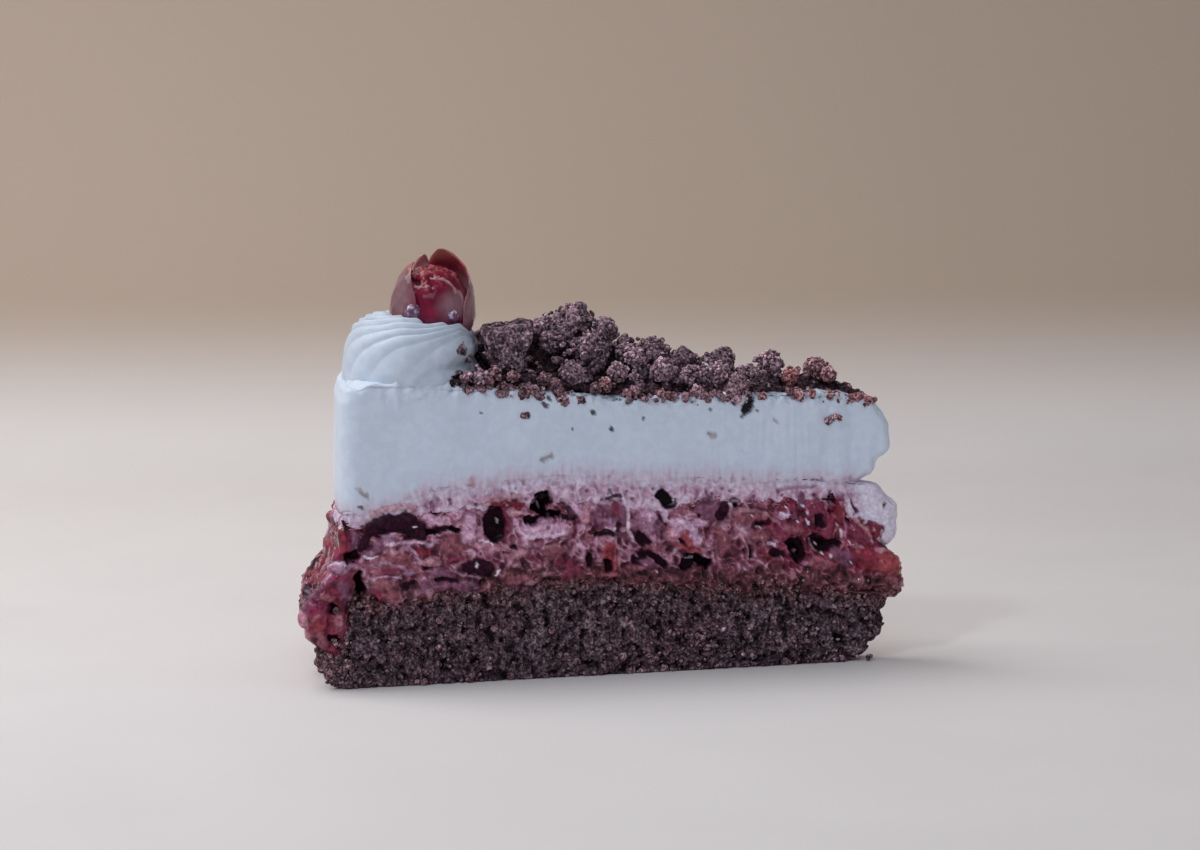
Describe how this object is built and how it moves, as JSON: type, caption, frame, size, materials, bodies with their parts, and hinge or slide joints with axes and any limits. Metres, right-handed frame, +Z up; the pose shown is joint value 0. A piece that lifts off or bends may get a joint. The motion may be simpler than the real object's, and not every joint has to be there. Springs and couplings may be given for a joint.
{
  "type": "black forest cake slice",
  "caption": "Wedge of layered cake: chocolate sponge, cherry filling, whipped cream, with a piped rosette, a split glazed cherry and chocolate crumbs on top.",
  "frame": {"origin": "centre of the bounding box in plan, on the flat underside of the sponge", "axes": "+X from the rim towards the tip, along the middle of the wedge; the cut faces look to -Y and +Y; +Z up"},
  "size_m": [0.134, 0.0613, 0.0928],
  "materials": {
    "chocolate_sponge": "dry open crumb, very dark brown",
    "cherry_jelly": "wet dark red jelly with cherry pieces",
    "stained_cream": "soft satin cream, stained pink",
    "white_cream": "soft satin whipped cream, cool white",
    "glazed_cherry": "clear wet glaze over wine-red skin",
    "chocolate_crumbs": "dry rough chocolate crumbs"
  },
  "bodies": {
    "root": {"sponge": "chocolate_sponge", "cherry_filling": "cherry_jelly", "stained_cream": "stained_cream", "white_cream": "white_cream", "cream_rosette": "white_cream", "topping_cherry": "glazed_cherry", "crumb_heap": "chocolate_crumbs", "sponge_chunk": "chocolate_crumbs"}
  },
  "joints": []
}
